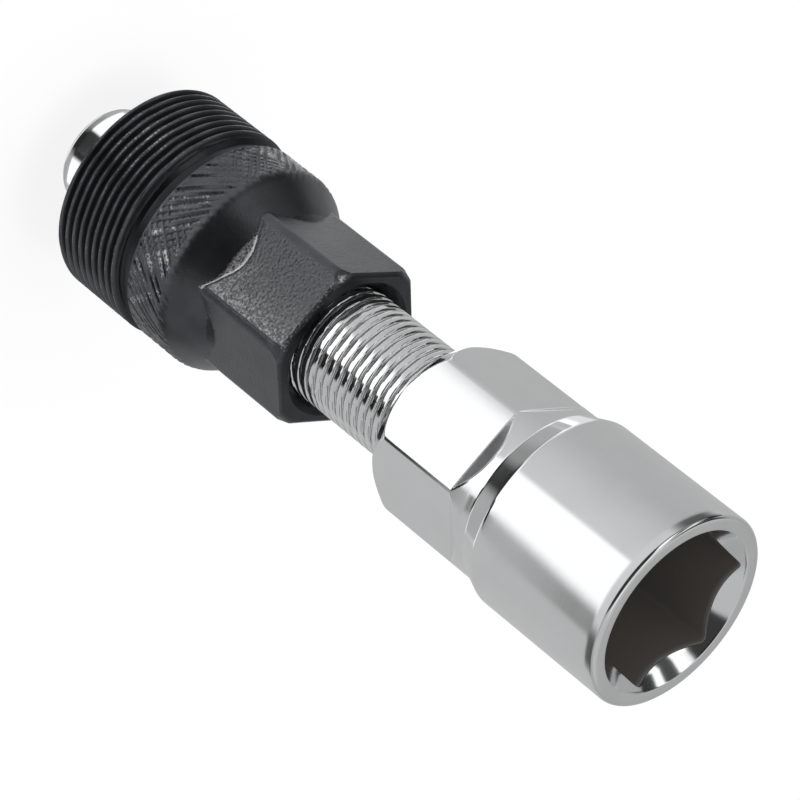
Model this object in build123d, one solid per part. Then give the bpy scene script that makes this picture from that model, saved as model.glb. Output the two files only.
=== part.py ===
from build123d import *
import os
from math import radians, sqrt, tan

# Crank puller for square-taper bicycle cranks, at real size in millimetres.
# The body screws into the crank arm by its outer thread. The spindle screws through the body and pushes
# on the axle's end through a tip that swivels. The spindle's other end is a wrench hexagon and a bolt socket.
# Each piece is drawn about the X axis, with stations counted from the crank-side face of the body towards
# the socket mouth. The tool is then stood on its swivel tip, with its axis along Z and the tip's face at Z = 0,
# because it rolls when it lies on its side.
# Screw threads are plain cylinders at their major diameter, and the knurl is its outer cylinder.

# Clearances
running_play = 0.05      # radial, between a shaft and the bore that it turns in
ring_play = 0.08         # around the wire ring in its two grooves
end_play = 0.10          # between the spindle's nose and the floor of the tip
cut_past = 0.10          # beyond a face, so that a cut leaves no skin

# Body: crank thread, relief, knurled collar, cone and hexagon
body_len = 30.0
crank_thread_d = 22.0
crank_thread_len = 8.9
crank_thread_lead = 0.4
relief_depth = 0.8       # below the crest of the thread
relief_len = 1.8
collar_drop = 0.2        # below the crest of the thread
collar_len = 5.2
collar_back_break = 0.3
collar_front_round = 2.0
cone_angle = 33.0        # to the axis
body_hex_af = 16.0       # across flats
body_corner_trim = 0.25  # radial, turned off the corners of the hexagon
corner_end_len = 1.1     # turned taper on the corners at the hexagon's end
corner_end_drop = 0.45   # radial, at the end of that taper
hex_edge_break = 0.35

# Body: cup in the crank end, spindle bore and its countersink
cup_d = 16.0
cup_depth = 7.5
cup_lip = 0.4
drill_point_angle = 118.0
countersink_width = 1.05
end_rim = 0.3            # least flat metal left between the countersink and the flats

# Spindle: thread, wrench hexagon and bolt socket
spindle_thread_d = 12.0
spindle_thread_lead = 0.8
exposed_thread = 12.9    # between the body and the head, as the tool lies
wrench_af = 16.0
wrench_corner_trim = 0.15
wrench_flat_len = 10.5
wrench_runout_len = 1.9
head_lead_len = 1.4
head_lead_round = 1.0
neck_land = 1.0          # full round between the run-outs and the foot of the socket's shoulder
shoulder_len = 2.1
shoulder_round = 1.2
neck_round = 0.8
socket_wall = 1.77       # at the corners of its hexagon
socket_len = 15.5
socket_rim_break = 0.4
socket_af = 14.0
socket_depth = 11.5
socket_lead = 1.4        # 45 degrees, from the flats out

# Spindle nose and the tip that swivels on it
tip_reach = 6.8          # beyond the crank-side face, as the tool lies
tip_drop = 0.7           # below the crest of the spindle's thread, so that the tip passes through the body
tip_len = 8.6
tip_face_round = 0.8
tip_back_break = 0.4
tip_floor = 2.2          # metal between the nose and the pushing face
tip_back_gap = 0.3       # between the tip and the end of the spindle's thread
nose_d = 6.0
nose_break = 1.0
ring_wire = 0.8          # side of its square section
ring_split_angle = 24.0
ring_from_back = 3.0     # from the tip's back to the middle of the wire

# Radii and stations that follow from the sizes above
crank_thread_r = crank_thread_d / 2
relief_r = crank_thread_r - relief_depth
collar_r = crank_thread_r - collar_drop
spindle_r = spindle_thread_d / 2
bore_r = spindle_r + running_play
cup_r = cup_d / 2
socket_r = socket_af / sqrt(3) + socket_wall
socket_mouth_r = socket_af / 2 + socket_lead
tip_r = spindle_r - tip_drop
nose_r = nose_d / 2
tip_bore_r = nose_r + running_play
wire_half = ring_wire / 2
body_corner_r = body_hex_af / sqrt(3) - body_corner_trim
head_bar_r = wrench_af / sqrt(3) - wrench_corner_trim
countersink = min(countersink_width, body_hex_af / 2 - end_rim - bore_r)

relief_start = crank_thread_len
collar_start = relief_start + relief_len
cone_start = collar_start + collar_len
cone_end = cone_start + (collar_r - body_hex_af / 2) / tan(radians(cone_angle))
cup_end = cup_depth + (cup_r - bore_r) / tan(radians(drill_point_angle / 2))

head_start = body_len + exposed_thread
flats_end = head_start + wrench_flat_len
neck_end = flats_end + wrench_runout_len + neck_land
socket_start = neck_end + shoulder_len
mouth = socket_start + socket_len
recess_floor = mouth - socket_depth

tip_face = -tip_reach
tip_back = tip_face + tip_len
nose_end = tip_face + tip_floor + end_play
spindle_thread_start = tip_back + tip_back_gap
ring_middle = tip_back - ring_from_back

HEX_SIDES = 6
FLAT_STEP = 360 / HEX_SIDES


def turned(*outline):
    """Solid of revolution about X, from (station, radius, corner round) points in order."""
    points = [(station, radius) for station, radius, _ in outline]
    rounds = [corner for _, _, corner in outline]
    edge = FilletPolyline(*points, radius=rounds, close=True)
    return revolve(Plane.XZ * make_face(edge), Axis.X)


def hex_bar(across_flats, start, end, turn):
    """Hexagonal bar along X. Turn 0 has a flat towards +Z, half a flat step has a corner there."""
    section = RegularPolygon(across_flats / 2, HEX_SIDES, major_radius=False, rotation=turn)
    return Pos(start, 0, 0) * extrude(Plane.YZ * section, end - start)


def flat_cutters(across_flats, start, end, runout, blank_r):
    """Six cutters that mill wrench flats from start to end, each ramping out to the round blank."""
    depth = blank_r - across_flats / 2
    top = blank_r + cut_past
    ramp_top = end + runout * (depth + cut_past) / depth
    outline = Polyline(
        (start - cut_past, across_flats / 2),
        (end, across_flats / 2),
        (ramp_top, top),
        (start - cut_past, top),
        close=True,
    )
    cutter = extrude(Plane.XZ * make_face(outline), blank_r, both=True)
    return [Rot(X=(side + 0.5) * FLAT_STEP) * cutter for side in range(HEX_SIDES)]


def extractor_body():
    """One turned piece: outer thread, relief, knurled collar, cone and hexagon, drilled through."""
    turning = turned(
        (0, 0, 0),
        (0, crank_thread_r - crank_thread_lead, 0),
        (crank_thread_lead, crank_thread_r, 0),
        (relief_start, crank_thread_r, 0),
        (relief_start + relief_depth, relief_r, 0),
        (collar_start, relief_r, 0),
        (collar_start, collar_r - collar_back_break, 0),
        (collar_start + collar_back_break, collar_r, 0),
        (cone_start, collar_r, collar_front_round),
        (cone_end, body_hex_af / 2, 0),
        (cone_end, 0, 0),
    )
    corners = turned(
        (collar_start, 0, 0),
        (collar_start, body_corner_r, 0),
        (body_len - corner_end_len, body_corner_r, 0),
        (body_len, body_corner_r - corner_end_drop, 0),
        (body_len, 0, 0),
    )
    hexagon = corners & hex_bar(body_hex_af, collar_start, body_len, FLAT_STEP / 2)
    end_edges = hexagon.faces().sort_by(Axis.X)[-1].outer_wire().edges()
    hexagon = chamfer(end_edges, hex_edge_break)
    drilling = turned(
        (-cut_past, 0, 0),
        (-cut_past, cup_r + cup_lip + cut_past, 0),
        (cup_lip, cup_r, 0),
        (cup_depth, cup_r, 0),
        (cup_end, bore_r, 0),
        (body_len - countersink, bore_r, 0),
        (body_len + cut_past, bore_r + countersink + cut_past, 0),
        (body_len + cut_past, 0, 0),
    )
    return turning + hexagon - drilling


def drive_spindle():
    """One piece: grooved nose, threaded shaft, wrench hexagon milled from round, neck and socket."""
    groove_r = nose_r - wire_half - ring_play
    groove_half = wire_half + ring_play
    solid = turned(
        (nose_end, 0, 0),
        (nose_end, nose_r - nose_break, 0),
        (nose_end + nose_break, nose_r, 0),
        (ring_middle - groove_half, nose_r, 0),
        (ring_middle - groove_half, groove_r, 0),
        (ring_middle + groove_half, groove_r, 0),
        (ring_middle + groove_half, nose_r, 0),
        (spindle_thread_start, nose_r, 0),
        (spindle_thread_start, spindle_r - spindle_thread_lead, 0),
        (spindle_thread_start + spindle_thread_lead, spindle_r, 0),
        (head_start, spindle_r, 0),
        (head_start, wrench_af / 2, 0),
        (head_start + head_lead_len, head_bar_r, head_lead_round),
        (neck_end, head_bar_r, neck_round),
        (socket_start, socket_r, shoulder_round),
        (mouth - socket_rim_break, socket_r, 0),
        (mouth, socket_r - socket_rim_break, 0),
        (mouth, 0, 0),
    )
    for cutter in flat_cutters(wrench_af, head_start, flats_end, wrench_runout_len, head_bar_r):
        solid -= cutter
    return solid - socket_recess()


def socket_recess():
    """What is cut from the mouth: a hexagon with a 45 degree lead and a drilled floor."""
    lead = turned(
        (mouth - socket_mouth_r, 0, 0),
        (mouth + cut_past, socket_mouth_r + cut_past, 0),
        (mouth + cut_past, 0, 0),
    )
    drill_r = socket_af / 2
    point = turned(
        (recess_floor - drill_r / tan(radians(drill_point_angle / 2)), 0, 0),
        (recess_floor, drill_r, 0),
        (recess_floor, 0, 0),
    )
    return hex_bar(socket_af, recess_floor, mouth + cut_past, 0) + lead + point


def swivel_tip():
    """Cap on the spindle's nose, with a blind bore and a groove for half of the wire ring."""
    cap = turned(
        (tip_face, 0, 0),
        (tip_face, tip_r, tip_face_round),
        (tip_back - tip_back_break, tip_r, 0),
        (tip_back, tip_r - tip_back_break, 0),
        (tip_back, 0, 0),
    )
    groove_r = nose_r + wire_half + ring_play
    groove_half = wire_half + ring_play
    bore = turned(
        (tip_face + tip_floor, 0, 0),
        (tip_face + tip_floor, tip_bore_r, 0),
        (ring_middle - groove_half, tip_bore_r, 0),
        (ring_middle - groove_half, groove_r, 0),
        (ring_middle + groove_half, groove_r, 0),
        (ring_middle + groove_half, tip_bore_r, 0),
        (tip_back + cut_past, tip_bore_r, 0),
        (tip_back + cut_past, 0, 0),
    )
    return cap - bore


def tip_retaining_ring():
    """Split ring of square wire, half in the nose's groove and half in the tip's."""
    section = Plane.XZ * Pos(ring_middle, nose_r) * Rectangle(ring_wire, ring_wire)
    return revolve(section, Axis.X, revolution_arc=360 - ring_split_angle)


pieces = {
    "extractor_body": extractor_body(),
    "drive_spindle": drive_spindle(),
    "swivel_tip": swivel_tip(),
    "tip_retaining_ring": tip_retaining_ring(),
}
stand_on_tip = Pos(0, 0, -tip_face) * Rot(Y=-90)

os.makedirs("parts", exist_ok=True)
for name, piece in pieces.items():
    export_step(stand_on_tip * piece, f"parts/{name}.step")
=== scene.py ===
"""Looks of the bicycle crank puller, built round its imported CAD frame.

The tool stands on its swivel tip with the screw axis along +Z. Each turned or milled surface is a numpy grid of
stations along that axis and angles about it, in millimetres until the mesh is written. Station 0 is the
crank-side face of the body, and stations grow towards the socket mouth.
"""
import logging
from dataclasses import dataclass, field
from enum import Enum
from math import cos, pi, radians, sin, sqrt, tan
from typing import Callable, Mapping, Optional, Sequence, Union

import bpy
import numpy as np
from mathutils import Matrix, Vector


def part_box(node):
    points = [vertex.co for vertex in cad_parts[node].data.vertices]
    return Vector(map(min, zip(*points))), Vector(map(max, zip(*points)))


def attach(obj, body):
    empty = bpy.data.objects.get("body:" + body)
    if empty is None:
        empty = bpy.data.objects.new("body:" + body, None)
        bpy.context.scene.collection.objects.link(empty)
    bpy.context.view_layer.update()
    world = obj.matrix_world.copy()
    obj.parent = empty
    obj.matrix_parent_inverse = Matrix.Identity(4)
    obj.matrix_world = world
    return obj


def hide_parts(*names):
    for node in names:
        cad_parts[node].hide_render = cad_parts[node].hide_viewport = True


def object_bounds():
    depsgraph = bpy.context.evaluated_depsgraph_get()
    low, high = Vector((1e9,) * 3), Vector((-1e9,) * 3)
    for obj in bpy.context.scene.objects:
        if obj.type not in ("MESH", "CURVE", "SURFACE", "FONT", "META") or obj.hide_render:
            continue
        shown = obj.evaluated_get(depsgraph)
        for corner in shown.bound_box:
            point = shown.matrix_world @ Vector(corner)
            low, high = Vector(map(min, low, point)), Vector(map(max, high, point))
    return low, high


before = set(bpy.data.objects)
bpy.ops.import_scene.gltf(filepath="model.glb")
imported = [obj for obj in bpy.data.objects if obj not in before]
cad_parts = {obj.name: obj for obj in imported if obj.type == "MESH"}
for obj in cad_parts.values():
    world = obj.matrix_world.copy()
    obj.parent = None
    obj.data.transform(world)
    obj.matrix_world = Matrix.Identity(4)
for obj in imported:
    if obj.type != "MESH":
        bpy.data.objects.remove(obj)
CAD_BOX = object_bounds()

Array = np.ndarray
Corner = tuple[float, ...]
Colour = tuple[float, float, float]
Span = tuple[float, float]
Socket = bpy.types.NodeSocket

MM = 0.001
FULL_TURN = 2 * pi
HEX_SIDES = 6
FLAT_STEP = FULL_TURN / HEX_SIDES
ARC_POINTS = 7
DEGREES = 180.0 / pi
# Marks on the vertices: worn edges, with a painted highlight on the crank thread; hammered flats with a painted sheen
# on the oxide, and painted shade in the chrome's thread roots and socket recess; painted shade on the oxide.
MARKS = ("wear_and_painted_highlight", "texture_and_painted_light", "dark")
WHITE: Colour = (1.0, 1.0, 1.0)
BLACK: Colour = (0.0, 0.0, 0.0)

log = logging.getLogger("crank_puller")


def smooth_step(x: Array, low: float, high: float) -> Array:
    """Eases from 0 at low to 1 at high, along 3t^2 - 2t^3 of the clipped share t."""
    t = np.clip((x - low) / (high - low), 0.0, 1.0)
    return t * t * (3.0 - 2.0 * t)


def soft_min(a: Array, b: Array, width: float) -> Array:
    """Lesser of two surfaces, blended by their difference over width, h, less width times h(1 - h) at the edge."""
    h = np.clip(0.5 + 0.5 * (b - a) / width, 0.0, 1.0)
    return b + (a - b) * h - width * h * (1.0 - h)


def soft_max(a: Array, b: Array, width: float) -> Array:
    """Takes the greater of two surfaces, as the soft minimum of their negatives."""
    return -soft_min(-a, -b, width)


def from_flat(angle: Array, first_flat: float) -> Array:
    """Turns angles into signed angles from the nearest flat's middle, within half a flat step."""
    return (angle - first_flat + FLAT_STEP / 2) % FLAT_STEP - FLAT_STEP / 2


def scatter(number: Array, seed: float) -> Array:
    """Gives each whole number its own share, the fraction of a large multiple of a sine, 0 to 1."""
    return (np.sin(12.9898 * number + 78.233 * seed) * 43758.5453) % 1.0


def bell(x: Array, width: float) -> Array:
    """Bell curve: the exponential of less the square of x over its width."""
    return np.exp(-((x / width) ** 2))


def shares(count: int) -> Array:
    """Even shares after 0 and up to 1, as a column."""
    return np.linspace(0.0, 1.0, count)[1:, None]


def all_round(columns: int) -> Array:
    """Angles of columns that go once round the axis."""
    return np.arange(columns) * FULL_TURN / columns


def corner_radius(half: float, trim: float) -> float:
    """Radius of a hexagon's corners: half its width over the cosine of half a flat step, less a trim."""
    return 2 * half / sqrt(3) - trim


def square_groove(middle: float, half: float, wall_r: float, floor_r: float) -> list[Corner]:
    """Corners of a square groove in a turned wall, from its middle less half to its middle plus half."""
    first, last = middle - half, middle + half
    return [(first, wall_r), (first, floor_r), (last, floor_r), (last, wall_r)]


def linked(name: str, data: bpy.types.ID) -> bpy.types.Object:
    """Adds an object to the scene."""
    thing = bpy.data.objects.new(name, data)
    bpy.context.scene.collection.objects.link(thing)
    return thing


def screw_groove(station: Array, angle: Array, pitch: float, root: float, crest: float) -> Array:
    """Depth share of a right-hand thread: 0 on the crest, 1 in the root. Half-widths are shares of half a pitch."""
    # The phase is the station in pitches less the angle in turns. Its distance from the groove's middle is eased.
    phase = (station / pitch - angle / FULL_TURN) % 1.0
    return 1.0 - smooth_step(np.abs(2.0 * phase - 1.0), root, 1.0 - crest)


def outline(corners: Sequence[Corner], step: Union[float, Sequence[float]]) -> Array:
    """Samples a turned outline: straight legs cut into steps and corners replaced by tangent arcs.

    An arc's points turn evenly from one tangent point to the other about the centre, which lies on the
    bisector of the two legs at the round divided by the sine of half their angle.

    Args:
        corners: Station, radius and, where there is one, the corner's round, in order.
        step: Longest straight step, or one for each leg.

    Returns:
        Stations and radii, one row per point.
    """
    points = np.array([corner[:2] for corner in corners], float)
    steps = np.broadcast_to(np.asarray(step, float), (len(corners) - 1,))
    bends = [points[:1]]
    for before, here, after, corner in zip(points[:-2], points[1:-1], points[2:], corners[1:-1]):
        if len(corner) == 2:
            bends.append(here[None])
            continue
        back = (before - here) / np.linalg.norm(before - here)
        on = (after - here) / np.linalg.norm(after - here)
        half = 0.5 * np.arccos(np.clip(back @ on, -1.0, 1.0))
        centre = here + (back + on) / np.linalg.norm(back + on) * corner[2] / np.sin(half)
        start = here + back * corner[2] / np.tan(half) - centre
        end = here + on * corner[2] / np.tan(half) - centre
        share = np.linspace(0.0, 1.0, ARC_POINTS)[:, None]
        sweep = pi - 2.0 * half
        bends.append(centre + (np.sin((1.0 - share) * sweep) * start + np.sin(share * sweep) * end) / np.sin(sweep))
    bends.append(points[-1:])
    pieces = []
    for leg, (here, after) in enumerate(zip(bends[:-1], bends[1:])):
        gap = np.linalg.norm(after[0] - here[-1])
        share = np.linspace(0.0, 1.0, max(2, int(np.ceil(gap / steps[leg])) + 1))[1:-1, None]
        pieces += [here, here[-1] + share * (after[0] - here[-1])]
    return np.concatenate(pieces + [bends[-1]])


class Ends(Enum):
    """How the first and last rows of a grid are closed."""

    RING = "the last row joins the first"
    POLES = "each end row closes on a point of the axis"


@dataclass
class Patch:
    """Rows of a grid about the screw axis: station, radius, angle and marks, each rows by columns."""

    station: Array
    radius: Array
    angle: Array
    wear_and_painted_highlight: Optional[Array] = None
    texture_and_painted_light: Optional[Array] = None
    dark: Optional[Array] = None

    @classmethod
    def spread(cls, station: Array, radius: Array, angle: Array) -> "Patch":
        """Brings stations, radii and angles to one grid."""
        return cls(*np.broadcast_arrays(station, radius, angle))

    @classmethod
    def turned(cls, profile: Array, angle: Array) -> "Patch":
        """Carries an outline, one row of station and radius per point, round the axis."""
        return cls.spread(profile[:, :1], profile[:, 1:], angle)

    @classmethod
    def stack(cls, *patches: "Patch") -> "Patch":
        """Puts patches one after the other, with marks of 0 where a patch has none."""
        def joined(name: str) -> Array:
            """Rows of one array of every patch."""
            rows = [getattr(patch, name) for patch in patches]
            return np.concatenate([np.zeros_like(p.radius) if r is None else r for p, r in zip(patches, rows)])

        return cls(*(joined(name) for name in ("station", "radius", "angle", *MARKS)))


@dataclass(frozen=True)
class ScrewAxis:
    """Places stations, radii and angles of the tool's axis in the row frame."""

    crank_face: float

    def shell(self, name: str, patch: Patch, ends: Ends, sharp: float) -> bpy.types.Object:
        """Writes a closed shell whose columns go all round the axis.

        A point is the radius times the angle's cosine and sine, and the station above the crank face.

        Args:
            name: Name of the piece.
            patch: The surface, with rows along the outside first and back along the inside.
            ends: How the end rows are closed.
            sharp: Angle in degrees past which an edge is shaded sharp.

        Returns:
            The new object, at the origin.
        """
        x, y = patch.radius * np.cos(patch.angle), patch.radius * np.sin(patch.angle)
        grid = np.stack([x, y, patch.station + self.crank_face], axis=-1) * MM
        rows, columns = grid.shape[:2]
        index = np.arange(rows * columns).reshape(rows, columns)
        onward = np.roll(index, -1, axis=1)
        above, above_on = np.roll(index, -1, axis=0), np.roll(onward, -1, axis=0)
        last = rows if ends is Ends.RING else rows - 1
        quads = np.stack([index, onward, above_on, above], axis=-1)[:last].reshape(-1, 4)
        vertices, fans = grid.reshape(-1, 3), np.empty((0, 3), int)
        if ends is Ends.POLES:
            poles = np.stack([grid[0].mean(axis=0), grid[-1].mean(axis=0)])
            first = np.full(columns, len(vertices))
            fans = np.concatenate([
                np.stack([first, onward[0], index[0]], axis=-1),
                np.stack([first + 1, index[-1], onward[-1]], axis=-1),
            ])
            vertices = np.concatenate([vertices, poles])
        mesh = bpy.data.meshes.new(name)
        mesh.vertices.add(len(vertices))
        mesh.vertices.foreach_set("co", vertices.astype(np.float32).ravel())
        mesh.loops.add(quads.size + fans.size)
        mesh.loops.foreach_set("vertex_index", np.concatenate([quads.ravel(), fans.ravel()]).astype(np.int32))
        sizes = np.concatenate([np.full(len(quads), 4), np.full(len(fans), 3)])
        mesh.polygons.add(len(sizes))
        mesh.polygons.foreach_set("loop_start", (np.cumsum(sizes) - sizes).astype(np.int32))
        mesh.polygons.foreach_set("use_smooth", np.ones(len(sizes), bool))
        mesh.update(calc_edges=True)
        mesh.set_sharp_from_angle(angle=radians(sharp))
        for mark in MARKS:
            values = getattr(patch, mark)
            values = np.zeros((rows, columns)) if values is None else values
            ended = np.concatenate([values.ravel(), values[[0, -1]].mean(axis=1)])[:len(vertices)]
            mesh.attributes.new(mark, "FLOAT", "POINT").data.foreach_set("value", ended.astype(np.float32))
        return linked(name, mesh)


def operator(operation: str, swapped: bool = False) -> Callable[["Value", "Number"], "Value"]:
    """Makes a method of Value for one Math operation.

    Args:
        operation: The Math node's operation.
        swapped: Whether the other number comes first.

    Returns:
        The method.
    """
    def apply(this: "Value", other: "Number") -> "Value":
        """Adds the operation's node on this number and another."""
        return this.graph.math(operation, *((other, this) if swapped else (this, other)))

    return apply


@dataclass(frozen=True)
class Value:
    """A number in a node graph, as an output socket. Its operators add Math nodes."""

    graph: "NodeGraph"
    socket: Socket

    __add__ = __radd__ = operator("ADD")
    __sub__, __rsub__ = operator("SUBTRACT"), operator("SUBTRACT", swapped=True)
    __mul__ = __rmul__ = operator("MULTIPLY")
    __truediv__, __pow__ = operator("DIVIDE"), operator("POWER")
    greatest, least = operator("MAXIMUM"), operator("MINIMUM")

    def eased(self, low: float, high: float) -> "Value":
        """Eases from 0 at low to 1 at high, along a smooth step."""
        step = self.graph.node(
            "ShaderNodeMapRange",
            {"interpolation_type": "SMOOTHSTEP"},
            {"Value": self, "From Min": low, "From Max": high},
        )
        return Value(self.graph, step.outputs["Result"])

    def faded(self, low: float, high: float) -> "Value":
        """Eases from 1 at low to 0 at high."""
        return 1.0 - self.eased(low, high)

    def within(self, low: float, high: float, soft: float) -> "Value":
        """1 between two limits, eased over a width to either side of both."""
        return self.eased(low - soft, low + soft) * self.faded(high - soft, high + soft)

    def mixed(self, other: "Number", share: "Value") -> "Value":
        """This number where the share is 0, the other where it is 1."""
        return self * (1.0 - share) + other * share


Number = Union[Value, float]


class NodeGraph:
    """Adds nodes to one tree."""

    def __init__(self, tree: bpy.types.NodeTree) -> None:
        """Starts on an emptied tree."""
        tree.nodes.clear()
        self.tree = tree

    def node(
        self,
        kind: str,
        settings: Optional[Mapping[str, object]] = None,
        inputs: Optional[Mapping[Union[str, int], object]] = None,
    ) -> bpy.types.Node:
        """Adds a node, sets it up, then gives its sockets their values or links.

        Args:
            kind: The node's type.
            settings: Attributes, set first.
            inputs: Socket names or numbers, with a number, a colour, a Value or another node's socket.

        Returns:
            The node.
        """
        node = self.tree.nodes.new(kind)
        for name, setting in (settings or {}).items():
            setattr(node, name, setting)
        for key, given in (inputs or {}).items():
            source = given.socket if isinstance(given, Value) else given
            if isinstance(source, Socket):
                self.tree.links.new(source, node.inputs[key])
            else:
                node.inputs[key].default_value = source
        return node

    def math(self, operation: str, *operands: Number) -> Value:
        """Adds one Math node on numbers or sockets."""
        node = self.node("ShaderNodeMath", {"operation": operation}, dict(enumerate(operands)))
        return Value(self, node.outputs[0])

    def mark(self, name: str) -> Value:
        """Reads a float attribute of the piece."""
        return Value(self, self.node("ShaderNodeAttribute", {"attribute_name": name}).outputs["Fac"])

    def place(self) -> Socket:
        """Gives the piece's own coordinates, in metres."""
        return self.node("ShaderNodeTexCoord").outputs["Object"]

    def stretched(self, scale: tuple[float, float, float]) -> Socket:
        """Gives the piece's own coordinates, each axis times its scale."""
        node = self.node("ShaderNodeVectorMath", {"operation": "MULTIPLY"}, {0: self.place(), 1: scale})
        return node.outputs[0]

    def noise(self, size: float, detail: float = 2.0, stretch: tuple[float, float, float] = (1, 1, 1)) -> Value:
        """Adds noise, 0 to 1, of a blot size in millimetres and octaves of detail, on stretched coordinates."""
        node = self.node(
            "ShaderNodeTexNoise",
            inputs={"Vector": self.stretched(stretch), "Scale": 1.0 / (size * MM), "Detail": detail},
        )
        return Value(self, node.outputs[0])

    def blend(self, share: Number, first: object, second: object) -> Socket:
        """Mixes two colours: a share of 0 gives the first, 1 the second."""
        node = self.node("ShaderNodeMix", {"data_type": "RGBA"}, {0: share, 6: first, 7: second})
        return node.outputs[2]

    def bump(self, height: Number, depth: float) -> Socket:
        """Adds a Bump node whose height share stands for a depth in millimetres."""
        node = self.node("ShaderNodeBump", inputs={"Strength": 1.0, "Distance": depth * MM, "Height": height})
        return node.outputs["Normal"]

    def even(self, kind: str, colour: object, strength: float = 1.0) -> Socket:
        """Adds an even Emission or Background."""
        return self.node(f"ShaderNode{kind}", inputs={"Color": colour, "Strength": strength}).outputs[0]

    def either(self, share: object, first: Socket, second: Socket) -> Socket:
        """Mixes two shaders: a share of 0 gives the first, 1 the second."""
        return self.node("ShaderNodeMixShader", inputs={0: share, 1: first, 2: second}).outputs[0]

    def grey(self, level: Value) -> Socket:
        """Makes a brightness a colour."""
        return self.node("ShaderNodeCombineColor", inputs=dict.fromkeys(range(3), level)).outputs[0]


def rgba(colour: Colour) -> tuple[float, float, float, float]:
    """Adds full alpha to a colour."""
    return (*colour, 1.0)


def metal(name: str) -> tuple[bpy.types.Material, NodeGraph]:
    """Starts a material on nodes.

    Args:
        name: The material's name.

    Returns:
        The material and its graph.
    """
    material = bpy.data.materials.new(name)
    material.use_nodes = True
    return material, NodeGraph(material.node_tree)


def close_metal(graph: NodeGraph, **inputs: object) -> None:
    """Ends a material's graph in one metallic Principled shader.

    Args:
        graph: The graph.
        inputs: Its sockets, with spaces as underscores.
    """
    sockets = {name.replace("_", " "): given for name, given in inputs.items()}
    shader = graph.node("ShaderNodeBsdfPrincipled", inputs={"Metallic": 1.0, **sockets})
    graph.node("ShaderNodeOutputMaterial", inputs={"Surface": shader.outputs[0]})


@dataclass(frozen=True)
class BlackOxide:
    """Black oxide on forged and turned steel: satin, with hammered texture and a painted sheen on the flats, bright
    worn edges, and painted shade where marked dark.
    """

    tone: Colour = (0.132, 0.136, 0.146)
    deep_tone: Colour = (0.112, 0.115, 0.124)
    # The marked flats' lighter tone and the near-white specks are a painted sheen.
    painted_flat_sheen_tone: Colour = (0.145, 0.148, 0.156)
    painted_sheen_tone: Colour = (0.56, 0.56, 0.565)
    worn_tone: Colour = (0.62, 0.62, 0.63)
    roughness: float = 0.28
    worn_roughness: float = 0.28
    grain_depth: float = 0.10
    painted_shade_share: float = 0.70

    def material(self) -> bpy.types.Material:
        """Makes the finish: mottled oxide; where marked, hammered texture and a painted sheen, with near-white sheen
        specks past 1; painted shade where marked dark; and worn edges broken up by noise.
        """
        material, graph = metal("black_oxide")
        mottle = graph.noise(2.6, 4.0).eased(0.35, 0.65)
        fine = graph.noise(0.22, 3.0)
        hammer = graph.noise(0.32, 3.0)
        specks = graph.noise(0.28, 4.0).eased(0.42, 0.64)
        breaks = graph.noise(0.22, 3.0).eased(0.36, 0.64)
        worn = (graph.mark("wear_and_painted_highlight") + 0.5 * breaks - 0.5).eased(0.0, 0.5)
        texture_and_painted_light = graph.mark("texture_and_painted_light")
        flat = texture_and_painted_light.least(1.0)
        oxide = graph.blend(mottle, rgba(self.deep_tone), rgba(self.tone))
        # Painted sheen: the marked flats are lighter than the rest of the oxide.
        oxide = graph.blend(flat, oxide, rgba(self.painted_flat_sheen_tone))
        # Painted sheen past 1: near-white specks, most toward one edge of two opposite flats and near the cone.
        painted_sheen = (texture_and_painted_light - 1.0).greatest(0.0) * (0.12 + 0.88 * specks)
        oxide = graph.blend(painted_sheen, oxide, rgba(self.painted_sheen_tone))
        # Painted shade: colour goes toward black where marked dark, in the crank thread's grooves, the relief, the
        # end face and the bore.
        oxide = graph.blend(self.painted_shade_share * graph.mark("dark"), oxide, rgba(BLACK))
        colour = graph.blend(worn, oxide, rgba(self.worn_tone))
        height = 0.15 * fine + flat * hammer
        close_metal(
            graph,
            Base_Color=colour,
            Roughness=self.roughness + 0.10 * fine - worn * (self.roughness - self.worn_roughness),
            Normal=graph.bump(height, self.grain_depth),
        )
        return material


@dataclass(frozen=True)
class ChromePlate:
    """Bright chrome over turned or milled steel, with faint ripple and haze."""

    name: str
    tone: Colour = (0.84, 0.845, 0.855)
    roughness: float = 0.075
    haze: float = 0.05
    ripple_depth: float = 0.0015
    turning_depth: float = 0.0
    # Painted shade: the dark tone in the thread's roots and inside the socket's recess.
    painted_shade_tone: Colour = (0.118, 0.109, 0.098)
    dull_roughness: float = 0.45

    def material(self) -> bpy.types.Material:
        """Makes the finish: haze in patches, ripple, any rings of the turning tool, and, where marked, a dull surface
        with a dark painted shade.
        """
        material, graph = metal(self.name)
        patches = graph.noise(3.2, 3.0)
        ripple = graph.noise(1.4, 5.0)
        colour = graph.blend(patches.eased(0.3, 0.7), rgba(tuple(0.97 * c for c in self.tone)), rgba(self.tone))
        # Where marked, the chrome turns dull and less metallic, and its dark tone is painted shade.
        dull_and_painted_shade = graph.mark("texture_and_painted_light")
        colour = graph.blend(dull_and_painted_shade, colour, rgba(self.painted_shade_tone))
        height = ripple
        if self.turning_depth:
            height = ripple + graph.noise(1.0, 2.0, (0.05, 0.05, 3.0)) * (self.turning_depth / self.ripple_depth)
        close_metal(
            graph,
            Base_Color=colour,
            Metallic=1.0 - 0.75 * dull_and_painted_shade,
            Roughness=(self.roughness + self.haze * patches).mixed(self.dull_roughness, dull_and_painted_shade),
            Normal=graph.bump(height, self.ripple_depth),
        )
        return material


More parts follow.
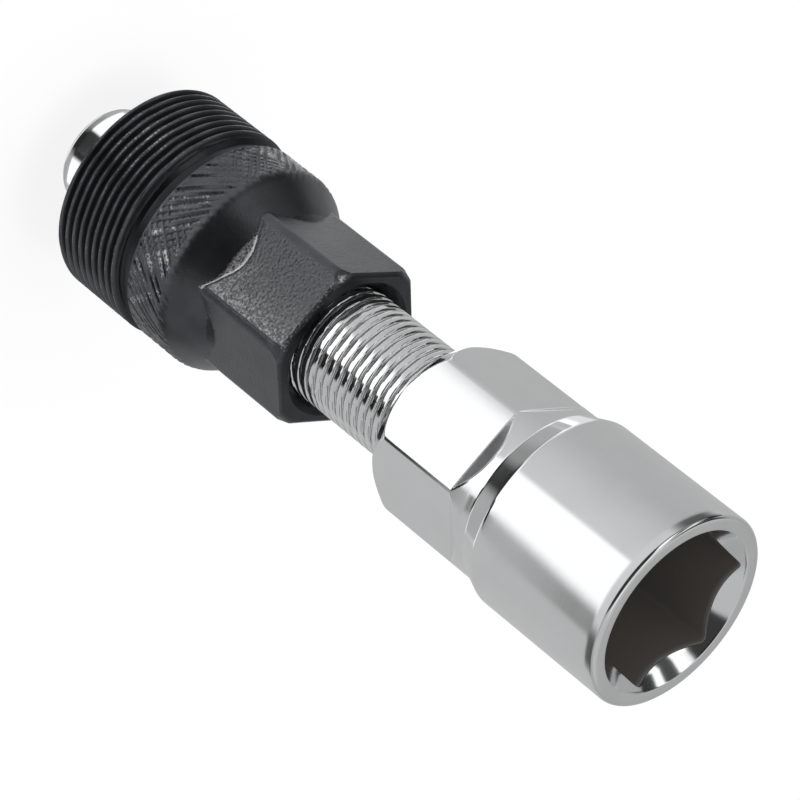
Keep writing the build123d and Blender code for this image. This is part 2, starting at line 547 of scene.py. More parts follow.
@dataclass(frozen=True)
class SpringWire:
    """Bare spring wire."""

    tone: Colour = (0.42, 0.42, 0.43)

    def material(self) -> bpy.types.Material:
        """Makes the finish: grey steel with fine noise in colour, roughness and bump."""
        material, graph = metal("spring_wire")
        fine = graph.noise(0.15, 3.0)
        colour = graph.blend(fine, rgba(tuple(0.7 * c for c in self.tone)), rgba(self.tone))
        close_metal(graph, Base_Color=colour, Roughness=0.3 + 0.2 * fine, Normal=graph.bump(fine, 0.01))
        return material


def dress(piece: bpy.types.Object, finish: bpy.types.Material, body: str, node: str) -> None:
    """Gives a piece its finish and its place in the frame.

    Args:
        piece: The new piece.
        finish: Its material.
        body: CAD body that it rides on.
        node: CAD node that it stands for.
    """
    piece.data.materials.append(finish)
    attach(piece, body)
    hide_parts(node)
    log.info("%s: %d vertices on %s", piece.name, len(piece.data.vertices), body)


@dataclass
class ExtractorBody:
    """The black body: crank thread, relief, knurled collar, cone and hexagon, drilled through."""

    axis: ScrewAxis
    length: float = 30.0
    thread_r: float = 11.0
    thread_len: float = 8.9
    thread_lead: float = 0.4
    thread_pitch: float = 1.0
    thread_depth: float = 0.62
    thread_root: float = 0.25
    thread_crest: float = 0.08
    # Centre of the painted highlight on the crank thread's crests.
    thread_highlight_angle: float = radians(196.0)
    thread_highlight_station: float = 4.5
    relief_r: float = 10.2
    collar_start: float = 10.7
    collar_r: float = 10.8
    collar_break: float = 0.3
    collar_round: float = 2.0
    cone_start: float = 15.9
    cone_angle: float = 33.0
    runout_r: float = 8.36
    runout_angle: float = 22.0
    hex_half: float = 8.0
    corner_trim: float = 0.20
    taper_len: float = 1.1
    taper_drop: float = 0.45
    edge_break: float = 0.35
    first_flat: float = FLAT_STEP / 2
    bore_r: float = 6.05
    cup_r: float = 8.0
    cup_depth: float = 7.5
    cup_end: float = 8.67
    cup_lip: float = 0.4
    countersink: float = 1.05
    lap: float = 0.2
    knurl_teeth: int = 72
    knurl_lead: float = 1.05
    knurl_depth: float = 0.24
    knurl_row: float = 0.085
    collar_rub_angle: float = radians(218.0)
    ring_columns: int = 432
    collar_columns: int = 648
    # How worn each flat is. This also scales the painted sheen on it.
    flat_wear_and_sheen: tuple[float, ...] = (0.85, 0.12, 0.15, 1.0, 0.12, 0.15)
    finish: BlackOxide = field(default_factory=BlackOxide)

    def crank_ring(self) -> Patch:
        """Crank thread, relief and cup, as one closed ring that laps into the collar.

        The outline's radius is cut to the thread's: the crest less depth times the groove's depth share.

        Returns:
            The ring's patch.
        """
        angle = all_round(self.ring_columns)
        slope_end = self.thread_len + self.thread_r - self.relief_r
        lap_end = self.collar_start + self.lap
        fine, coarse = 1 / 16, 0.8
        face = outline([(0, self.cup_r + self.cup_lip), (0, self.thread_r - self.thread_depth - 0.05)], coarse)
        thread = outline([
            (0, self.thread_r - self.thread_lead),
            (self.thread_lead, self.thread_r),
            (self.thread_len, self.thread_r),
            (slope_end, self.relief_r, 0.15),
            (self.collar_start - 0.25, self.relief_r),
            (lap_end, self.relief_r),
        ], [fine, fine, fine, 0.3, 0.3])
        inside = outline([
            (lap_end, self.bore_r + self.lap),
            (self.collar_start - self.lap, self.bore_r),
            (self.cup_end, self.bore_r),
            (self.cup_depth, self.cup_r, 0.3),
            (self.cup_lip, self.cup_r),
            (0.0, self.cup_r + self.cup_lip),
        ], coarse)[:-1]
        ridges = Patch.turned(thread, angle)
        groove = screw_groove(ridges.station, ridges.angle, self.thread_pitch, self.thread_root, self.thread_crest)
        ridges.radius = soft_min(ridges.radius, self.thread_r - self.thread_depth * groove, 0.04)
        on_thread = smooth_step(ridges.station, self.thread_len + 0.2, self.thread_len - 0.1)
        # The crests are worn all round. The brighter patch about the highlight angle and station is a painted
        # highlight.
        bright_patch = bell(ridges.angle - self.thread_highlight_angle, 0.28) * bell(ridges.station - self.thread_highlight_station, 2.6)
        ridges.wear_and_painted_highlight = (0.14 + 0.34 * bright_patch) * (1.0 - groove) ** 6 * on_thread
        # Painted shade in the thread's grooves and over the relief.
        ridges.dark = 0.45 * groove * on_thread + 0.9 * (1.0 - on_thread)
        return Patch.stack(Patch.turned(face, angle), ridges, Patch.turned(inside, angle))

    def knurl(self, station: Array, angle: Array) -> tuple[Array, Array]:
        """Crossed diagonal grooves, worn unevenly.

        Each family's phase is the tooth count times the turn, plus or less the station over its lead, and its
        ridge is an eased triangle wave. A groove's number scatters its depth, which also swells along the
        station, and a ridge's number scatters how worn it is. A sine of three times the angle says which family
        leads.
        The lesser of the two ridges stands between the grooves.

        Args:
            station: Stations.
            angle: Angles.

        Returns:
            The depth below the collar's crest in millimetres, and how worn the ridge is, 0 to 1.
        """
        turns = self.knurl_teeth * angle / FULL_TURN
        wander = 0.06 * np.sin(5 * angle + 1.3 * station)
        start = self.collar_start + self.collar_break
        crossed = np.ones_like(turns + station)
        bright = np.ones_like(crossed)
        for seed, hand in ((1.7, 1.0), (4.1, -1.0)):
            phase = turns + hand * station / self.knurl_lead + wander
            groove = np.floor(phase) % self.knurl_teeth
            swell = 0.35 * np.sin(1.3 * station + FULL_TURN * scatter(groove, seed + 9))
            lead = 0.55 - 0.45 * hand * np.sin(3.0 * (angle - radians(225)))
            kept = lead * np.clip(0.30 + 0.70 * scatter(groove, seed) + swell, 0.0, 1.0)
            wave = np.abs(2.0 * (phase % 1.0) - 1.0)
            crossed = np.minimum(crossed, 1.0 - kept * (1.0 - smooth_step(wave, 0.0, 0.65)))
            bright = bright * (0.35 + 0.65 * scatter(np.round(phase) % self.knurl_teeth, seed + 3))
        edge = self.cone_start - 0.15 + 0.20 * np.sin(23 * angle) + 0.12 * np.sin(41 * angle + 1.0)
        ends = smooth_step(station, start, start + 0.35) * smooth_step(station - edge, 0.80, -0.60)
        return self.knurl_depth * (1.0 - crossed) * ends, crossed * bright * ends

    def hex_radius(self, angle: Array, station: Array) -> Array:
        """Radius of the hexagon: half its width over the cosine from the flat, with its corners turned off.

        The corners' radius falls evenly along the taper at the end.

        Args:
            angle: Angles.
            station: Stations.

        Returns:
            The radius.
        """
        flat = self.hex_half / np.cos(from_flat(angle, self.first_flat))
        along = np.clip((station - self.length + self.taper_len) / self.taper_len, 0.0, 1.0)
        bar = corner_radius(self.hex_half, self.corner_trim) - self.taper_drop * along
        return soft_min(flat, bar + np.zeros_like(flat), 0.10)

    def runout_start(self) -> float:
        """Station at which the cone gives way to its shallow run-out."""
        return self.cone_start + (self.collar_r - self.runout_r) / tan(radians(self.cone_angle))

    def cone_outline(self) -> Array:
        """Turned outline from the collar down the cone and its shallow run-out, on below the flats."""
        runout, shallow = self.runout_start(), tan(radians(self.runout_angle))
        return outline([
            (self.collar_start, self.collar_r),
            (self.cone_start, self.collar_r, self.collar_round),
            (runout, self.runout_r),
            (runout + (self.runout_r - self.bore_r) / shallow, self.bore_r),
        ], 0.05)

    def collar_and_hexagon(self) -> Patch:
        """Collar with its knurl, cone and hexagon, as one closed ring.

        The outside is the greater of the turned outline and the hexagon, rounded where they meet. Rows follow
        the curve in which they meet, so that the edge is clean.

        Returns:
            The patch.
        """
        angle = all_round(self.collar_columns)
        crest = self.collar_start + self.collar_break
        back = Patch.turned(
            outline([
                (self.collar_start, self.bore_r),
                (self.collar_start, self.collar_r - self.collar_break, 0.05),
                (crest - 0.02, self.collar_r - 0.02),
            ], 1.2),
            angle,
        )
        rows = np.arange(crest, self.cone_start - 0.3, self.knurl_row)
        knurled = Patch.turned(np.stack([rows, np.full_like(rows, self.collar_r)], axis=-1), angle)
        turning = self.cone_outline()
        hexagon = self.hex_radius(angle, np.zeros_like(angle))
        depth, ridge = self.knurl(knurled.station, knurled.angle)
        knurled.radius = np.interp(knurled.station, turning[:, 0], turning[:, 1]) - depth
        bright_patch = bell(knurled.angle - self.collar_rub_angle, 0.45)
        knurled.wear_and_painted_highlight = (0.55 + 0.40 * bright_patch) * ridge ** 2
        meet = np.interp(-hexagon, -turning[:, 1], turning[:, 0])
        first = np.minimum(self.runout_start(), meet - 0.25)
        start, end = rows[-1], self.length - self.edge_break
        down = (1.0 - (1.0 - shares(18)) ** 1.4) * (first - start) + start
        across = shares(8) * (meet - first) + first
        taper = end - self.taper_len + self.edge_break
        along = shares(18) ** 1.8 * (taper - meet) + meet
        ending = shares(7) * (end - taper) + np.full_like(meet, taper)
        station = np.concatenate([down, across, along, ending])
        cone = np.interp(station, turning[:, 0], turning[:, 1])
        knurl_tail, _ = self.knurl(station, angle)
        radius = soft_max(cone - knurl_tail, self.hex_radius(angle, station), 0.10)
        milled = Patch.spread(station, radius, angle)
        lean = from_flat(angle, self.first_flat)
        away = np.abs(lean)
        corner = np.arccos(self.hex_half / corner_radius(self.hex_half, self.corner_trim))
        beyond = station - meet
        side = np.floor((angle - self.first_flat + FLAT_STEP / 2) / FLAT_STEP).astype(int) % HEX_SIDES
        # How worn each flat is. It also sets the painted sheen, which is strongest on two opposite flats.
        kept = np.array(self.flat_wear_and_sheen)[side]
        fade = kept * smooth_step(lean, radians(-24), radians(-12))
        lens = smooth_step(station - first, -0.05, 0.05) * smooth_step(-beyond, -0.05, 0.05)
        # Where the painted sheen's specks go: toward one edge of each flat and near the cone.
        at_corner = np.exp((lean - corner) * self.hex_half / 1.7)
        at_cone = 0.75 * np.exp(-np.abs(beyond) / 1.8) * smooth_step(lean, radians(-20), radians(15))
        painted_sheen = np.maximum(at_corner, at_cone)
        spot = bell((angle - pi) * self.hex_half, 0.35) * bell(station - end, 0.3)
        edges = [
            0.10 * bell((away - corner) * self.hex_half, 0.16) * smooth_step(beyond, -0.1, 0.2) * kept,
            bell(station - first, 0.11) * smooth_step(hexagon, self.runout_r + 0.1, self.runout_r - 0.1) * fade,
            bell(beyond, 0.12) * fade,
            0.46 * lens * fade,
            0.26 * bell(station - end, 0.10) * kept,
            0.9 * spot,
        ]
        milled.wear_and_painted_highlight = np.max(edges, axis=0)
        # Hammered texture on the flats, and the painted sheen: full on the most worn flats, with specks past 1.
        milled.texture_and_painted_light = smooth_step(beyond, 0.0, 0.5) * smooth_step(away, corner, corner - 0.03)
        milled.texture_and_painted_light = milled.texture_and_painted_light * (0.20 + 0.80 * kept + painted_sheen * (kept > 0.8))
        sink_r = self.bore_r + self.countersink
        share = np.array([0.0, 0.15, 0.6, 1.0])[:, None]
        rim = self.hex_radius(angle, np.full_like(angle, self.length)) - self.edge_break
        face_radius = rim + share * (sink_r - rim)
        face = Patch.spread(np.array(self.length), face_radius, angle)
        face.wear_and_painted_highlight = np.zeros(face_radius.shape)
        face.wear_and_painted_highlight[0] = 0.12 * kept
        # Painted shade on the end face.
        face.dark = np.full(face_radius.shape, 0.75)
        bore = Patch.turned(
            outline([
                (self.length - 0.1, sink_r - 0.1),
                (self.length - self.countersink, self.bore_r),
                (self.collar_start + 1.0, self.bore_r),
            ], 4.0),
            angle,
        )
        # Painted shade in the bore.
        bore.dark = np.full(bore.radius.shape, 0.8)
        return Patch.stack(back, knurled, milled, face, bore)

    def build(self) -> None:
        """Builds and dresses both shells of the body."""
        finish = self.finish.material()
        for name, patch in (("body_crank_thread", self.crank_ring()), ("body_hexagon", self.collar_and_hexagon())):
            piece = self.axis.shell(name, patch, Ends.RING, 40.0)
            dress(piece, finish, "extractor_body", "extractor_body")


@dataclass
class DriveSpindle:
    """The chromed spindle: grooved nose, threaded shaft, wrench hexagon, neck and bolt socket."""

    axis: ScrewAxis
    nose_end: float = -4.5
    nose_r: float = 3.0
    nose_break: float = 1.0
    groove_middle: float = -1.2
    groove_half: float = 0.48
    groove_r: float = 2.52
    thread_start: float = 2.1
    thread_lead: float = 0.8
    thread_r: float = 6.0
    thread_pitch: float = 1.0
    thread_depth: float = 0.46
    thread_root: float = 0.04
    thread_crest: float = 0.50
    hidden_thread_end: float = 23.0
    head_start: float = 42.9
    head_lead: float = 1.4
    head_round: float = 1.0
    wrench_half: float = 8.0
    corner_trim: float = 0.20
    flat_crown: float = 0.08
    flats_end: float = 53.4
    runout_len: float = 1.9
    neck_end: float = 56.3
    neck_round: float = 0.8
    socket_start: float = 58.4
    shoulder_round: float = 1.2
    socket_r: float = 9.853
    rim_round: float = 0.42
    mouth: float = 73.9
    mouth_r: float = 8.4
    recess_half: float = 7.0
    recess_trim: float = 0.12
    recess_floor: float = 62.4
    drill_angle: float = 118.0
    first_flat: float = FLAT_STEP / 2
    lap: float = 0.5
    axis_gap: float = 0.4
    shaft_columns: int = 160
    flat_columns: int = 64
    land_columns: int = 6
    shaft_finish: ChromePlate = ChromePlate("spindle_thread_chrome", roughness=0.06, haze=0.03)
    head_finish: ChromePlate = ChromePlate("spindle_head_chrome", turning_depth=0.0006)

    def shaft(self) -> Patch:
        """Nose with its ring groove and the threaded shaft, lapped into the head.

        The outline's radius is cut to the thread's: the crest less depth times the groove's depth share.

        Returns:
            The patch.
        """
        angle = all_round(self.shaft_columns)
        shaft_end = self.head_start + self.lap
        nose = outline([
            (self.nose_end, self.axis_gap),
            (self.nose_end, self.nose_r - self.nose_break, 0.15),
            (self.nose_end + self.nose_break, self.nose_r, 0.15),
            *square_groove(self.groove_middle, self.groove_half, self.nose_r, self.groove_r),
            (self.thread_start, self.nose_r),
            (self.thread_start, self.thread_r - self.thread_lead - 0.1),
        ], 0.8)
        thread = outline([
            (self.thread_start, self.thread_r - self.thread_lead),
            (self.thread_start + self.thread_lead, self.thread_r),
            (self.hidden_thread_end, self.thread_r),
            (shaft_end, self.thread_r),
        ], [1 / 8, 1 / 8, 1 / 16])
        end = outline([(shaft_end, self.thread_r - 1), (shaft_end, self.axis_gap)], 2.0)
        ridges = Patch.turned(thread, angle)
        groove = screw_groove(ridges.station, ridges.angle, self.thread_pitch, self.thread_root, self.thread_crest)
        ridges.radius = soft_min(ridges.radius, self.thread_r - self.thread_depth * groove, 0.03)
        # Painted shade: the thread's roots are marked dull and dark.
        ridges.texture_and_painted_light = 0.85 * smooth_step(groove, 0.55, 0.95)
        return Patch.stack(Patch.turned(nose, angle), ridges, Patch.turned(end, angle))

    def bar_r(self) -> float:
        """Radius of the round bar that the wrench flats are milled from."""
        return corner_radius(self.wrench_half, self.corner_trim)

    def milled(self, profile: Array) -> Patch:
        """Mills six flats into a turned outline.

        A flat's plane is half the width away from the axis, then ramps up to the round bar. Its radius is that
        distance over the cosine from the flat's middle, and the outside is the lesser of it and the outline.
        Columns are squeezed towards the edge where the two cross, which narrows to a point along the ramp, and
        spread evenly again on the neck.

        Args:
            profile: Stations and radii of the turned outline.

        Returns:
            The patch.
        """
        station, turning = profile[:, :1], profile[:, 1:]
        slope = (self.bar_r() - self.wrench_half) / self.runout_len
        plane = self.wrench_half + slope * np.maximum(station - self.flats_end, 0.0)
        edge = np.arccos(np.minimum(plane / turning, cos(radians(1.5))))
        place = np.linspace(-1.0, 1.0, self.flat_columns, endpoint=False)[None]
        kept = 1.0 - 2.0 * self.land_columns / self.flat_columns
        inner = np.sin(np.clip(np.abs(place) / kept, 0.0, 1.0) * pi / 2)
        outer = np.clip((np.abs(place) - kept) / (1.0 - kept), 0.0, 1.0)
        squeezed = edge * inner + (FLAT_STEP / 2 - edge) * outer
        even = np.abs(place) * FLAT_STEP / 2
        spread = smooth_step(station, self.neck_end - 0.9, self.neck_end + 0.2)
        spread = spread + smooth_step(station, self.head_start + 0.35, self.head_start + 0.05)
        away = np.sign(place) * (squeezed + np.clip(spread, 0.0, 1.0) * (even - squeezed))
        crown = self.flat_crown * (np.tan(away) / tan(FLAT_STEP / 2)) ** 4
        radius = soft_min(turning, (plane - crown) / np.cos(away), 0.05)
        flats = self.first_flat + FLAT_STEP * np.arange(HEX_SIDES)
        angle = (flats[:, None, None] + away[None]).transpose(1, 0, 2).reshape(len(profile), -1)
        return Patch.spread(station, np.tile(radius, HEX_SIDES), angle)

    def recess(self, angle: Array) -> Patch:
        """Bolt socket from the mouth in: 45 degree lead, hexagon, ledge and drilled point.

        The hexagon's radius is half its width over the cosine from its flat. The lead's radius falls with
        depth, so that it meets the hexagon at a depth of the mouth's radius less the hexagon's.

        Args:
            angle: Angles of the columns.

        Returns:
            The patch.
        """
        hexagon = self.recess_half / np.cos(from_flat(angle, 0.0))
        corner = corner_radius(self.recess_half, self.recess_trim)
        hexagon = soft_min(hexagon, np.full_like(hexagon, corner), 0.10)
        meet = self.mouth - (self.mouth_r - hexagon)
        lead = shares(9) * (meet - self.mouth) + self.mouth
        wall = shares(13) ** 1.6 * (self.recess_floor - meet) + meet
        station = np.concatenate([lead, wall])
        radius = soft_max(self.mouth_r - (self.mouth - station), hexagon, 0.04)
        walls = Patch.spread(station, radius, angle)
        # Painted shade inside the recess, from the end of the lead inward.
        walls.texture_and_painted_light = smooth_step(meet - station, 0.0, 0.25)
        fall = (self.recess_half - self.axis_gap) / tan(radians(self.drill_angle / 2))
        point = outline([
            (self.recess_floor, self.recess_half - 0.05),
            (self.recess_floor - fall, self.axis_gap),
        ], 0.9)
        drilled = Patch.turned(point, angle)
        # Painted shade over the whole drilled point.
        drilled.texture_and_painted_light = np.ones(drilled.radius.shape)
        return Patch.stack(walls, drilled)

    def head(self) -> Patch:
        """Wrench hexagon, neck and socket, in one shell with its recess."""
        bar = self.bar_r()
        profile = outline([
            (self.head_start, self.axis_gap),
            (self.head_start, self.wrench_half, 0.12),
            (self.head_start + self.head_lead, bar, self.head_round),
            (self.flats_end - 0.3, bar),
            (self.flats_end + self.runout_len + 0.2, bar),
            (self.neck_end, bar, self.neck_round),
            (self.socket_start, self.socket_r, self.shoulder_round),
            (self.mouth, self.socket_r, self.rim_round),
            (self.mouth, self.mouth_r, 0.10),
            (self.mouth - 0.2, self.mouth_r - 0.2),
        ], [1.5, 0.15, 0.6, 0.07, 0.12, 0.12, 0.9, 0.3, 0.1])[:-1]
        outside = self.milled(profile)
        return Patch.stack(outside, self.recess(outside.angle[-1]))

    def build(self) -> None:
        """Builds and dresses the shaft and the head."""
        for name, patch, finish, sharp in (
            ("spindle_shaft", self.shaft(), self.shaft_finish, 50.0),
            ("spindle_head", self.head(), self.head_finish, 32.0),
        ):
            piece = self.axis.shell(name, patch, Ends.POLES, sharp)
            dress(piece, finish.material(), "drive_spindle", "drive_spindle")


@dataclass
class SwivelTip:
    """The chromed cap on the spindle's nose."""

    axis: ScrewAxis
    face: float = -6.8
    back: float = 1.8
    radius: float = 5.3
    face_round: float = 0.8
    back_break: float = 0.4
    floor: float = -4.6
    bore_r: float = 3.05
    groove_r: float = 3.48
    groove_middle: float = -1.2
    groove_half: float = 0.48
    axis_gap: float = 0.4
    columns: int = 192
    finish: ChromePlate = ChromePlate("tip_chrome", roughness=0.06)

    def cap(self) -> Patch:
        """Face, rounded edge, side and back of the cap, then its blind bore with the ring's groove."""
        angle = all_round(self.columns)
        profile = outline([
            (self.face, self.axis_gap),
            (self.face, self.radius, self.face_round),
            (self.back - self.back_break, self.radius, 0.15),
            (self.back, self.radius - self.back_break, 0.10),
            (self.back, self.bore_r, 0.05),
            *square_groove(self.groove_middle, -self.groove_half, self.bore_r, self.groove_r),
            (self.floor, self.bore_r),
            (self.floor, self.axis_gap),
        ], 0.6)
        return Patch.turned(profile, angle)

    def build(self) -> None:
        """Builds and dresses the cap."""
        piece = self.axis.shell("tip_cap", self.cap(), Ends.POLES, 35.0)
        dress(piece, self.finish.material(), "swivel_tip", "swivel_tip")


@dataclass
class RetainingRing:
    """The hidden wire ring, shown by its CAD node."""

    node: str = "tip_retaining_ring"
    finish: SpringWire = SpringWire()

    def build(self) -> None:
        """Gives the CAD node its finish."""
        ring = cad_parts[self.node]
        material = self.finish.material()
        if ring.material_slots:
            ring.material_slots[0].material = material
        else:
            ring.data.materials.append(material)
        log.info("%s: CAD node with %s", self.node, material.name)


@dataclass
class Studio:
    """Camera, floor, card for reflections, white surround and one soft lamp."""

    aim: Vector
    eye: Vector = Vector((-0.2528, -0.1649, 0.2053))
    right: Vector = Vector((0.0219, 0.7601, 0.6496))
    up: Vector = Vector((-0.7157, 0.4657, -0.5208))
    lens: float = 180.0
    sensor: float = 36.0
    floor_size: float = 3.0
    front: float = radians(213.0)
    seen_white: float = 0.85
    white_zone: Span = (0.10, 0.30)
    card_drop: float = 100.0
    reach_slope: float = 0.716
    reach_start: float = 86.5
    far_zone: Span = (163.0, 168.0)
    tip_r: float = 5.3
    tip_zone: Span = (132.5, 134.5)
    tip_dim_zone: Span = (113.0, 117.0)
    inner_zone: Span = (110.0, 113.0)
    core_zone: Span = (44.0, 50.0)
    horizon_zone: Span = (0.03, 0.10)
    strip_middle: float = 42.0
    strip_half: float = 9.5
    ambient: float = 0.70
    key_power: float = 2.4
    lamp_size: float = 0.5
    lamp_place: Vector = Vector((-0.10, 0.05, 0.60))

    def camera(self) -> None:
        """Puts the camera where the photograph was taken from."""
        data = bpy.data.cameras.new("photo_camera")
        data.sensor_width, data.lens = self.sensor, self.lens
        data.clip_start, data.clip_end = 0.01, 20.0
        camera = linked("photo_camera", data)
        right = self.right.normalized()
        back = right.cross(self.up).normalized()
        turn = Matrix((right, back.cross(right), back)).transposed().to_4x4()
        camera.matrix_world = Matrix.Translation(self.aim + self.eye) @ turn
        bpy.context.scene.camera = camera

    @staticmethod
    def graded(facing: Value, across: Value) -> Value:
        """Brightness far out and at the horizon: falling from front to back, with a soft dark band at each side."""
        bands = (across * across - facing * facing).eased(0.40, 0.97)
        return (0.60 + 0.12 * facing) * (1.0 - 0.82 * bands)

    def bearings(self, graph: NodeGraph, x: Value, y: Value) -> tuple[Value, Value, Value]:
        """Turns a place or direction about the axis to the photograph's azimuth.

        Args:
            graph: The graph of both values.
            x: Its part along X.
            y: Its part along Y.

        Returns:
            Its parts ahead and aside, and its azimuth in degrees.
        """
        ahead = x * cos(self.front) + y * sin(self.front)
        aside = y * cos(self.front) - x * sin(self.front)
        return ahead, aside, graph.math("ARCTAN2", aside, ahead) * DEGREES

    def wide_card(self, azimuth: Value, reach: Value, ahead: Value, aside: Value) -> Value:
        """Brightness of the card's wide part: white in front, a dark line beside that, grey elsewhere.

        Args:
            azimuth: Azimuth in degrees, 0 towards the photograph's camera.
            reach: Distance from the axis, in millimetres.
            ahead: Its part towards the camera.
            aside: Its part across that.

        Returns:
            The brightness.
        """
        edge = aside + 20.0 + 0.155 * (ahead - 92.0) + 10.0 * ahead.faded(66.0, 80.0)
        turned_in = edge.eased(-7.0, 7.0)
        beside = azimuth - self.strip_middle - 0.3 * (reach - 65.0).greatest(0.0)
        half = self.strip_half + 4.5 * reach.faded(76.0, 86.0)
        blur = 1.0 + 17.0 * reach.eased(95.0, 112.0)
        past = ((beside + half) / blur).eased(-1.0, 0.0)
        white = turned_in * (1.0 - past)
        strip = past * (beside - half).faded(-3.0, 5.0)
        strip = strip * (0.97 - reach.eased(95.0, 100.0) * (0.87 - 0.40 * reach.eased(122.0, 146.0)))
        grey = 0.50 + 0.04 * azimuth.eased(0.0, 40.0)
        grey = grey + 0.18 * azimuth.eased(-90.0, -12.0) * (1.0 - turned_in)
        grey = grey + 0.33 * reach.faded(50.0, 65.0) * azimuth.faded(-75.0, -55.0)
        level = grey * (1.0 - white) * (1.0 - strip) + (1.75 - 0.5 * reach.eased(56.0, 66.0)) * white
        shade = 0.40 * azimuth.eased(-95.0, -70.0) + 0.50 * azimuth.eased(-48.0, -18.0)
        shade = shade * azimuth.faded(10.0, 50.0) * reach.eased(12.0, 14.0) * reach.faded(35.0, 41.0)
        return level * (1.0 - shade)

    def tip_card(self, azimuth: Value, ring: Value) -> Value:
        """Brightness of the ring that the tip sees: white with one dark bar, dimmer behind and at its inner edge.

        Args:
            azimuth: Azimuth in degrees.
            ring: Distance from the axis, in millimetres, counted from the tip's side.

        Returns:
            The brightness.
        """
        bar = azimuth.eased(-28.0, -20.0) * azimuth.faded(38.0, 50.0)
        rim = azimuth.graph.math("ABSOLUTE", azimuth).eased(100.0, 118.0)
        level = 1.25 * (1.0 - 0.97 * bar) * (1.0 - 0.58 * rim)
        return level * (1.0 - 0.75 * (1.0 - rim) * ring.faded(*self.tip_dim_zone))

    @staticmethod
    def shoulder_card(azimuth: Value) -> Value:
        """Brightness of the middle that the socket's shoulder sees: grey, with a dark part in front."""
        shade = 0.30 * azimuth.eased(-84.0, -54.0) + 0.64 * azimuth.eased(-40.0, -8.0)
        return 0.45 * (1.0 - shade * azimuth.faded(24.0, 54.0))

    def reflected(self, graph: NodeGraph) -> Value:
        """Brightness of the card under the floor, which the metal sees in the floor's place.

        The wide part is banded far out. Nearer to the tool come the tip's ring and the shoulder's middle. Reach is
        where a ray would meet the floor, from the distance at which it meets the card.

        Args:
            graph: The card's graph.

        Returns:
            The brightness.
        """
        parts = graph.node("ShaderNodeSeparateXYZ", inputs={0: graph.place()})
        x, y = Value(graph, parts.outputs[0]) / MM, Value(graph, parts.outputs[1]) / MM
        ahead, aside, azimuth = self.bearings(graph, x, y)
        distance = (ahead * ahead + aside * aside) ** 0.5
        reach = self.reach_slope * distance - self.reach_start
        facing, across = ahead / distance, aside / distance
        level = self.wide_card(azimuth, reach, facing * reach, across * reach)
        level = level.mixed(self.graded(facing, across), reach.eased(*self.far_zone))
        ring = distance - self.tip_r * (0.5 + 0.5 * facing) ** 0.5
        level = level.mixed(self.tip_card(azimuth, ring), ring.faded(*self.tip_zone))
        behind = (-0.985 * facing - 0.174 * across).eased(0.75, 0.87)
        middle = self.shoulder_card(azimuth).mixed(1.0 - 0.95 * behind, distance.faded(*self.core_zone))
        return level.mixed(middle, ring.faded(*self.inner_zone))

    def sheet(self, name: str, height: float, material: bpy.types.Material) -> bpy.types.Object:
        """Lays a large level sheet that belongs to the stage.

        Args:
            name: Name of the object.
            height: Height in millimetres.
            material: Its material.

        Returns:
            The object.
        """
        half, z = self.floor_size, height * MM
        mesh = bpy.data.meshes.new(name)
        mesh.from_pydata([(-half, -half, z), (half, -half, z), (half, half, z), (-half, half, z)], [], [(0, 1, 2, 3)])
        mesh.materials.append(material)
        sheet = linked(name, mesh)
        return sheet

    def floor(self) -> None:
        """Lays the pale floor. It keeps the tool's shadow, and is plain white to the camera farther out."""
        material, graph = metal("pale_floor")
        seen = Value(graph, graph.node("ShaderNodeLightPath").outputs["Is Camera Ray"])
        apart = graph.node("ShaderNodeVectorMath", {"operation": "LENGTH"}, {0: graph.place()})
        away = Value(graph, apart.outputs["Value"]).eased(*self.white_zone)
        matt = graph.node("ShaderNodeBsdfDiffuse", inputs={"Color": rgba((0.9, 0.9, 0.9))})
        share = seen * (self.seen_white + (1.0 - self.seen_white) * away)
        both = graph.either(share, matt.outputs[0], graph.even("Emission", rgba(WHITE)))
        graph.node("ShaderNodeOutputMaterial", inputs={"Surface": both})
        self.sheet("floor", 0.0, material).visible_glossy = False

    def card(self) -> None:
        """Lays the card that only reflections show, under the floor."""
        material, graph = metal("reflected_card")
        glow = graph.even("Emission", graph.grey(self.reflected(graph)))
        graph.node("ShaderNodeOutputMaterial", inputs={"Surface": glow})
        card = self.sheet("reflected_card", -self.card_drop, material)
        card.visible_camera = card.visible_diffuse = card.visible_shadow = card.visible_transmission = False

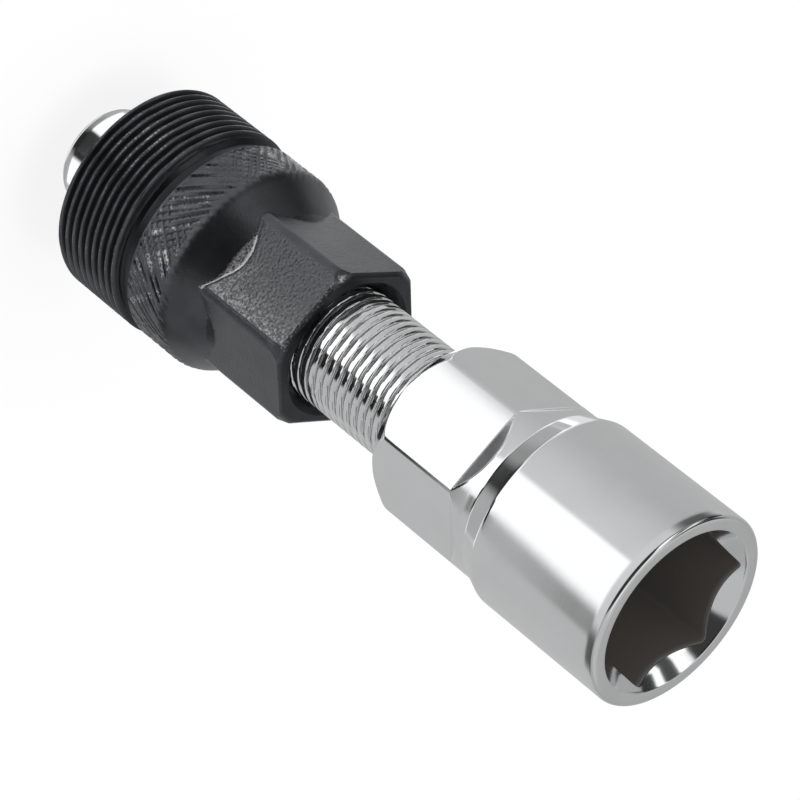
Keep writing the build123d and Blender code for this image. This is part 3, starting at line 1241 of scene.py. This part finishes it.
    def surround(self) -> None:
        """Sets the world: white to the camera, soft light on the tool.

        Metal sees it grey, dark in front and low down at the right, with a bright card and its bar above that.
        """
        world = bpy.data.worlds.new("studio")
        world.use_nodes = True
        bpy.context.scene.world = world
        graph = NodeGraph(world.node_tree)
        path = graph.node("ShaderNodeLightPath")
        place = graph.node("ShaderNodeTexCoord").outputs["Generated"]
        parts = graph.node("ShaderNodeSeparateXYZ", inputs={0: place})
        x, y, z = (Value(graph, output) for output in parts.outputs)
        ahead, aside, azimuth = self.bearings(graph, x, y)
        sector = azimuth.within
        front = sector(-40.0, 44.0, 5.0)
        side = sector(-118.0, -40.0, 3.0) * (1.0 - 0.8 * z.eased(0.16, 0.26) - 0.2 * z.eased(0.46, 0.52))
        high = sector(-155.0, -118.0, 4.0) * z.eased(0.50, 0.56) * z.faded(0.85, 0.92)
        gap = sector(-118.0, -101.0, 1.5) * z.faded(0.65, 0.72)
        card = sector(-100.0, -42.0, 1.5) * z.eased(0.48, 0.54) * z.faded(0.82, 0.88)
        bar = sector(-90.0, -69.0, 1.5)
        grey = (0.42 + 0.13 * z.eased(0.45, 0.60)) * (1.0 - 0.93 * front) * (1.0 - 0.90 * side) * (1.0 - 0.92 * gap)
        grey = grey * (1.0 - 0.94 * high)
        level = grey * (1.0 - card) + 1.35 * card * (1.0 - 0.95 * bar) + 0.4 * z.eased(0.90, 0.97)
        level_reach = (ahead * ahead + aside * aside) ** 0.5
        horizon = z.faded(*self.horizon_zone)
        level = level.mixed(self.graded(ahead / level_reach, aside / level_reach), horizon)
        light = graph.even("Background", rgba(WHITE), self.ambient)
        lit = graph.either(path.outputs["Is Glossy Ray"], light, graph.even("Background", graph.grey(level)))
        seen = graph.either(path.outputs["Is Camera Ray"], lit, graph.even("Background", rgba(WHITE)))
        graph.node("ShaderNodeOutputWorld", inputs={"Surface": seen})

    def lamps(self) -> None:
        """Hangs one large soft lamp over the tool."""
        data = bpy.data.lights.new("soft_box", "AREA")
        data.shape, data.size, data.size_y = "RECTANGLE", self.lamp_size, self.lamp_size
        data.energy = self.key_power
        lamp = linked("soft_box", data)
        lamp.location = self.lamp_place
        lamp.visible_glossy = False
        lamp.rotation_euler = (self.aim - lamp.location).to_track_quat("-Z", "Y").to_euler()

    def build(self) -> None:
        """Sets up the whole studio."""
        self.camera()
        self.floor()
        self.card()
        self.surround()
        self.lamps()
        bpy.context.scene.view_settings.view_transform = "Standard"
        log.info("studio: camera, floor, card, surround and lamp")


def main() -> None:
    """Builds the tool's pieces and the studio in order."""
    logging.basicConfig(level=logging.INFO, format="%(name)s: %(message)s")
    low, high = CAD_BOX
    axis = ScrewAxis(crank_face=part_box("extractor_body")[0].z / MM)
    ExtractorBody(axis).build()
    DriveSpindle(axis).build()
    SwivelTip(axis).build()
    RetainingRing().build()
    Studio(aim=Vector((0.0, 0.0, (low.z + high.z) / 2))).build()


if __name__ == "__main__":
    main()
